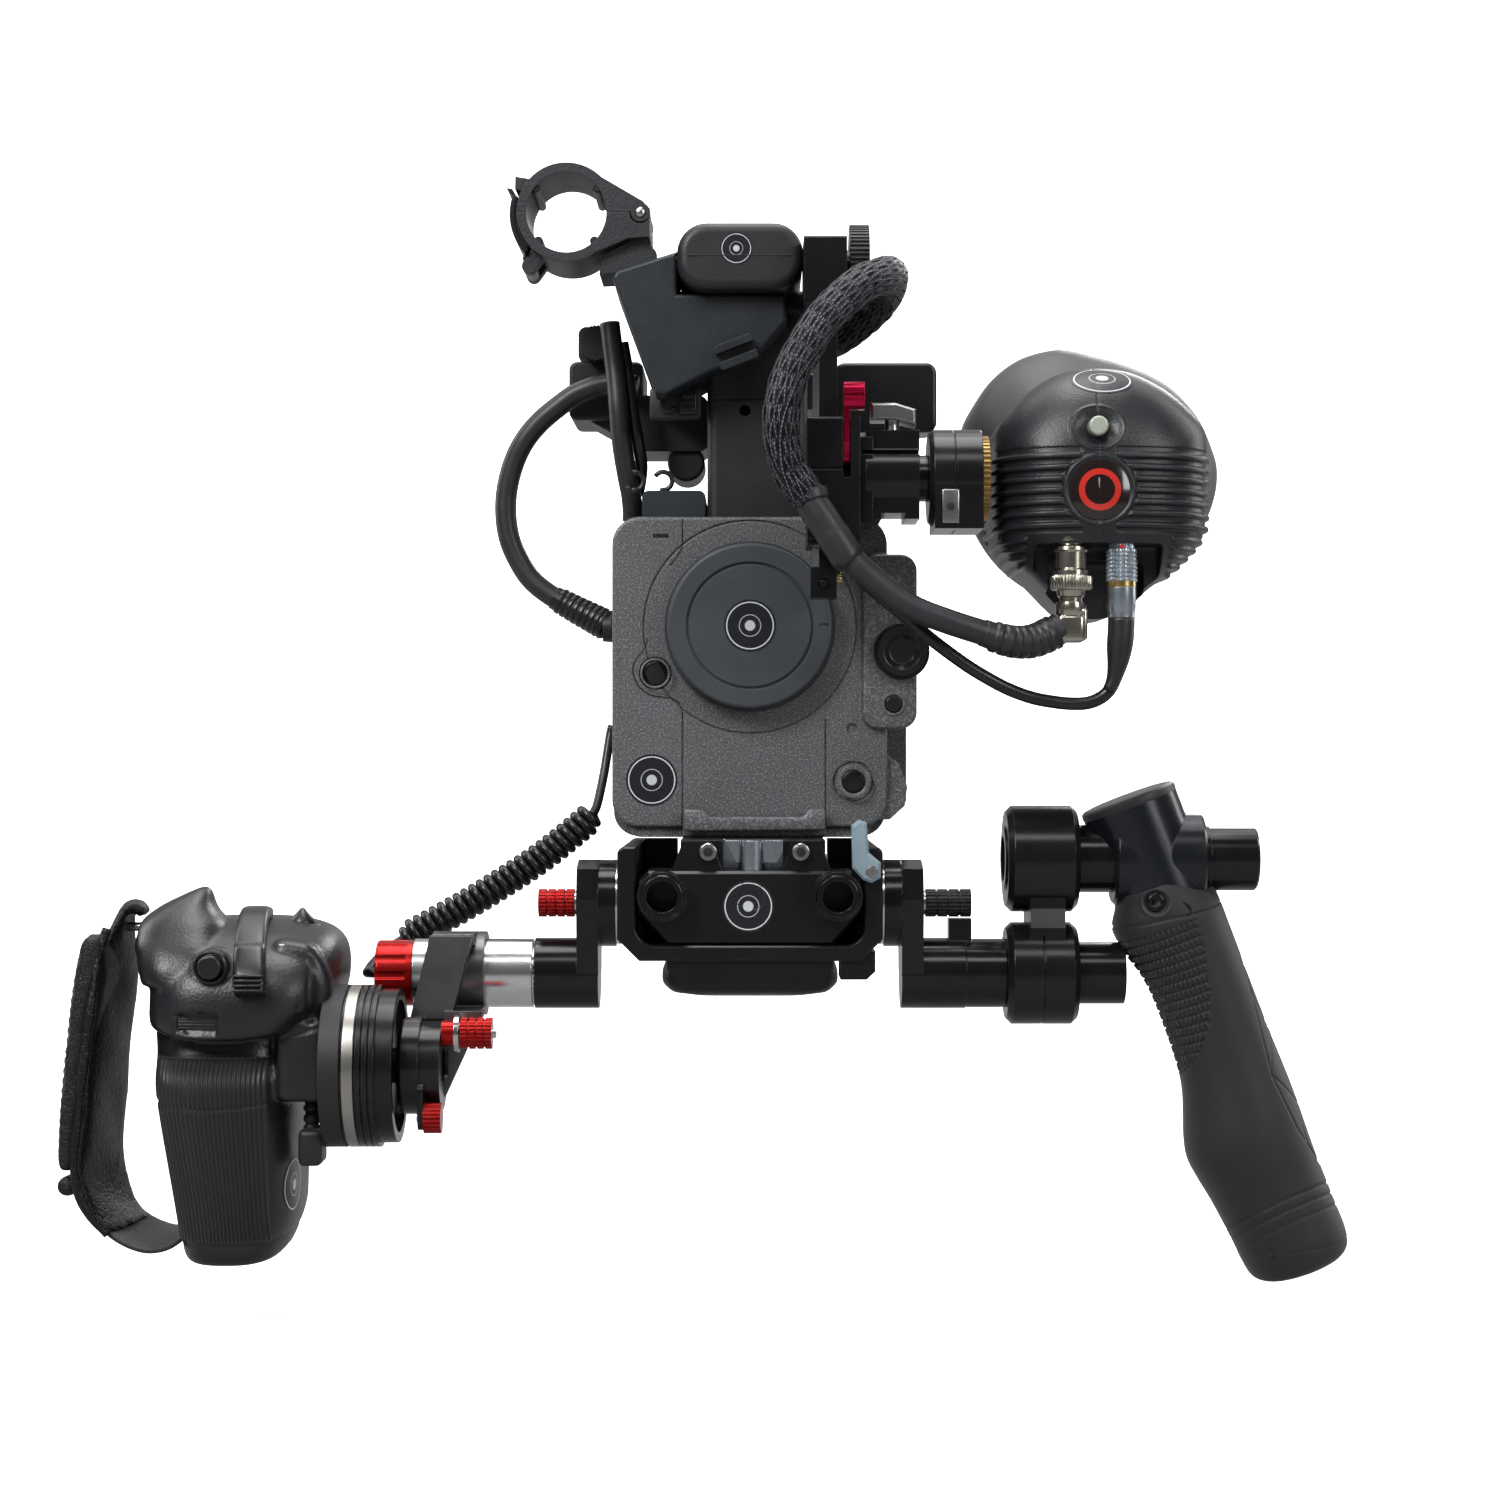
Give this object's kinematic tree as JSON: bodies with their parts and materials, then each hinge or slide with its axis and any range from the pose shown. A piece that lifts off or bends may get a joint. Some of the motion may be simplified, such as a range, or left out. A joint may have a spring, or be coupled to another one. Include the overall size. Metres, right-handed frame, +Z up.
{
  "type": "cinema camera shoulder rig",
  "caption": "Cinema camera on a rod base with shoulder pad, side eyepiece on a slide rail, microphone clamp, and two swinging arms with a strapped grip and a rubber handle.",
  "frame": {"origin": "mouth of the 3/8-16 tripod socket in the underside rail; Y=0 is the front face of the camera body", "axes": "+X toward the eyepiece side (right as seen from the front), -Y forward along the lens axis, +Z up"},
  "size_m": [0.4474, 0.2288, 0.3947],
  "materials": {
    "black_metal": "black anodised, satin",
    "grey_body": "grey speckled powder coat",
    "black_plastic": "fine moulded grain",
    "cap_plastic": "moulded",
    "soft_black": "soft touch rubber",
    "cable": "matte jacket",
    "braid": "braided sleeve",
    "leather": "smooth padded leather",
    "steel": "plain",
    "silver": "clear anodised",
    "grey_metal": "grey anodised",
    "red": "red anodised",
    "magenta": "red-pink anodised",
    "blue_grey": "blue-grey paint",
    "circuit": "solder mask",
    "glass": "coated"
  },
  "bodies": {
    "root": {"base_frame": "black_metal", "rod_block": "black_metal", "rods": "black_metal", "shoulder_pad": "soft_black", "camera_riser": "black_metal", "riser_screws": "steel", "camera_front": "grey_body", "camera_body": "grey_body", "lens_mount": "steel", "sensor_board": "circuit", "battery": "black_plastic", "handle_post": "black_plastic", "handle_grip": "black_plastic", "mic_module": "black_plastic", "xlr_unit": "black_plastic", "mic_clamp_base": "black_plastic", "evf_rail": "black_metal", "side_cables": "cable", "braided_cable": "braid", "coil_cable": "cable"},
    "mic_lid": {"mic_clamp_top": "black_plastic"},
    "latch": {"mic_latch": "black_plastic"},
    "rail_knob": {"bracket_knob": "black_metal"},
    "evf_slider": {"evf_carriage": "black_metal", "evf_arm": "black_metal", "evf_cables": "cable"},
    "carriage_lock": {"carriage_lever": "magenta"},
    "arm_lock": {"evf_arm_lever": "silver"},
    "evf_head": {"evf_knuckle": "black_metal", "evf_shell": "black_plastic", "evf_eyecup": "soft_black", "evf_optics": "glass"},
    "head_button": {"evf_button": "steel"},
    "cap": {"body_cap": "cap_plastic"},
    "lens_release_body": {"lens_release": "black_plastic"},
    "wb_body": {"wb_button": "black_plastic"},
    "auto_body": {"auto_button": "black_plastic"},
    "iris": {"iris_dial": "black_plastic"},
    "focus": {"focus_switch": "black_plastic"},
    "audio": {"audio_dial": "black_plastic"},
    "riser_lever": {"release_lever": "blue_grey"},
    "screen": {"monitor": "black_plastic"},
    "left_arm": {"left_elbow": "black_metal", "left_tube": "silver"},
    "tube_end_knob": {"left_end_knob": "red"},
    "left_lock": {"left_lock_knob": "red"},
    "left_clamp": {"left_bracket": "grey_metal"},
    "clamp_knob_long": {"bracket_knob_long": "red"},
    "clamp_knob_short": {"bracket_knob_short": "red"},
    "left_handle": {"grip_rosette": "black_metal", "grip_body": "black_plastic", "hand_strap": "leather"},
    "record_button": {"grip_button": "black_plastic"},
    "thumb_dial": {"grip_dial": "black_plastic"},
    "right_arm": {"right_elbow": "black_metal"},
    "right_lock": {"right_lock_knob": "black_metal"},
    "link": {"right_link": "black_metal"},
    "upper_tube": {"right_upper_tube": "black_metal"},
    "right_handle": {"right_t_clamp": "black_metal", "right_grip": "soft_black"}
  },
  "joints": [
    {"name": "left_arm_swing", "type": "hinge", "parent": "root", "child": "left_arm", "pos_m": [-0.0466, -0.02, 0.0275], "axis": [1, 0, 0], "range_deg": [-45, 45], "deforming": ["coil_cable"]},
    {"name": "left_clamp_turn", "type": "hinge", "parent": "left_arm", "child": "left_clamp", "pos_m": [-0.1, -0.02, 0.003], "axis": [1, 0, 0], "range_deg": [-30, 30]},
    {"name": "left_handle_turn", "type": "hinge", "parent": "left_clamp", "child": "left_handle", "pos_m": [-0.112, -0.05, -0.026], "axis": [1, 0, 0], "range_deg": [-45, 45]},
    {"name": "right_arm_swing", "type": "hinge", "parent": "root", "child": "right_arm", "pos_m": [0.0466, -0.02, 0.0275], "axis": [1, 0, 0], "range_deg": [-45, 45]},
    {"name": "link_turn", "type": "hinge", "parent": "right_arm", "child": "link", "pos_m": [0.1, -0.02, 0.003], "axis": [1, 0, 0], "range_deg": [-30, 30]},
    {"name": "upper_tube_slide", "type": "slide", "parent": "link", "child": "upper_tube", "axis": [1, 0, 0], "range_m": [0, 0.012]},
    {"name": "right_handle_turn", "type": "hinge", "parent": "upper_tube", "child": "right_handle", "pos_m": [0.14, -0.02, 0.043], "axis": [1, 0, 0], "range_deg": [-30, 30]},
    {"name": "evf_height_slide", "type": "slide", "parent": "root", "child": "evf_slider", "axis": [0, 0, 1], "range_m": [-0.005, 0.024], "deforming": ["braided_cable"]},
    {"name": "evf_tilt", "type": "hinge", "parent": "evf_slider", "child": "evf_head", "pos_m": [0.06, -0.03, 0.175], "axis": [1, 0, 0], "range_deg": [-20, 45], "deforming": ["evf_cables"]},
    {"name": "carriage_lock_flip", "type": "hinge", "parent": "evf_slider", "child": "carriage_lock", "pos_m": [0.033, -0.038, 0.182], "axis": [1, 0, 0], "range_deg": [0, 70]},
    {"name": "arm_lock_turn", "type": "hinge", "parent": "evf_slider", "child": "arm_lock", "pos_m": [0.0488, -0.038, 0.19], "axis": [0, 0, 1], "range_deg": [-40, 40]},
    {"name": "rail_knob_turn", "type": "hinge", "parent": "root", "child": "rail_knob", "pos_m": [0.038, -0.016, 0.2505], "axis": [1, 0, 0], "continuous": true},
    {"name": "head_button_press", "type": "slide", "parent": "evf_head", "child": "head_button", "axis": [0, 1, 0], "range_m": [0, 0.001], "stiffness_N_per_m": 900},
    {"name": "mic_clamp_open", "type": "hinge", "parent": "root", "child": "mic_lid", "pos_m": [-0.0388, 0.008, 0.2712], "axis": [0, 1, 0], "range_deg": [0, 80]},
    {"name": "mic_latch_flip", "type": "hinge", "parent": "root", "child": "latch", "pos_m": [-0.0786, 0.008, 0.2532], "axis": [0, -1, 0], "range_deg": [0, 70]},
    {"name": "screen_tilt", "type": "hinge", "parent": "root", "child": "screen", "pos_m": [0.031, 0.067, 0.214], "axis": [1, 0, 0], "range_deg": [-30, 45]},
    {"name": "audio_dial_turn", "type": "hinge", "parent": "root", "child": "audio", "pos_m": [-0.057, 0.045, 0.2323], "axis": [0, 1, 0], "continuous": true},
    {"name": "body_cap_twist", "type": "hinge", "parent": "root", "child": "cap", "pos_m": [0, -0.006, 0.125], "axis": [0, 1, 0], "range_deg": [0, 60]},
    {"name": "lens_release_press", "type": "slide", "parent": "root", "child": "lens_release_body", "axis": [0, 1, 0], "range_m": [0, 0.0015], "stiffness_N_per_m": 900},
    {"name": "wb_press", "type": "slide", "parent": "root", "child": "wb_body", "axis": [0, 1, 0], "range_m": [0, 0.001], "stiffness_N_per_m": 900},
    {"name": "auto_press", "type": "slide", "parent": "root", "child": "auto_body", "axis": [0, 1, 0], "range_m": [0, 0.001], "stiffness_N_per_m": 900},
    {"name": "iris_dial_turn", "type": "hinge", "parent": "root", "child": "iris", "pos_m": [0.054, -0.005, 0.116], "axis": [0, 1, 0], "continuous": true},
    {"name": "focus_switch_slide", "type": "slide", "parent": "root", "child": "focus", "axis": [1, 0, 0], "range_m": [-0.0015, 0.0015]},
    {"name": "riser_lever_flip", "type": "hinge", "parent": "root", "child": "riser_lever", "pos_m": [0.0416, -0.0446, 0.0395], "axis": [0, 1, 0], "range_deg": [0, 70]},
    {"name": "tube_end_knob_turn", "type": "hinge", "parent": "left_arm", "child": "tube_end_knob", "pos_m": [-0.123, -0.02, 0.003], "axis": [1, 0, 0], "continuous": true},
    {"name": "left_lock_turn", "type": "hinge", "parent": "left_arm", "child": "left_lock", "pos_m": [-0.067, -0.02, 0.0275], "axis": [1, 0, 0], "continuous": true},
    {"name": "clamp_knob_long_turn", "type": "hinge", "parent": "left_clamp", "child": "clamp_knob_long", "pos_m": [-0.092, -0.055, -0.0146], "axis": [1, 0, 0], "continuous": true},
    {"name": "clamp_knob_short_turn", "type": "hinge", "parent": "left_clamp", "child": "clamp_knob_short", "pos_m": [-0.106, -0.0626, -0.0422], "axis": [1, 0, 0], "continuous": true},
    {"name": "record_button_press", "type": "slide", "parent": "left_handle", "child": "record_button", "axis": [0, 1, 0], "range_m": [0, 0.0012], "stiffness_N_per_m": 900},
    {"name": "thumb_dial_turn", "type": "hinge", "parent": "left_handle", "child": "thumb_dial", "pos_m": [-0.183, -0.0705, -0.0095], "axis": [1, 0, 0], "continuous": true},
    {"name": "right_lock_turn", "type": "hinge", "parent": "right_arm", "child": "right_lock", "pos_m": [0.069, -0.02, 0.0275], "axis": [1, 0, 0], "continuous": true}
  ]
}
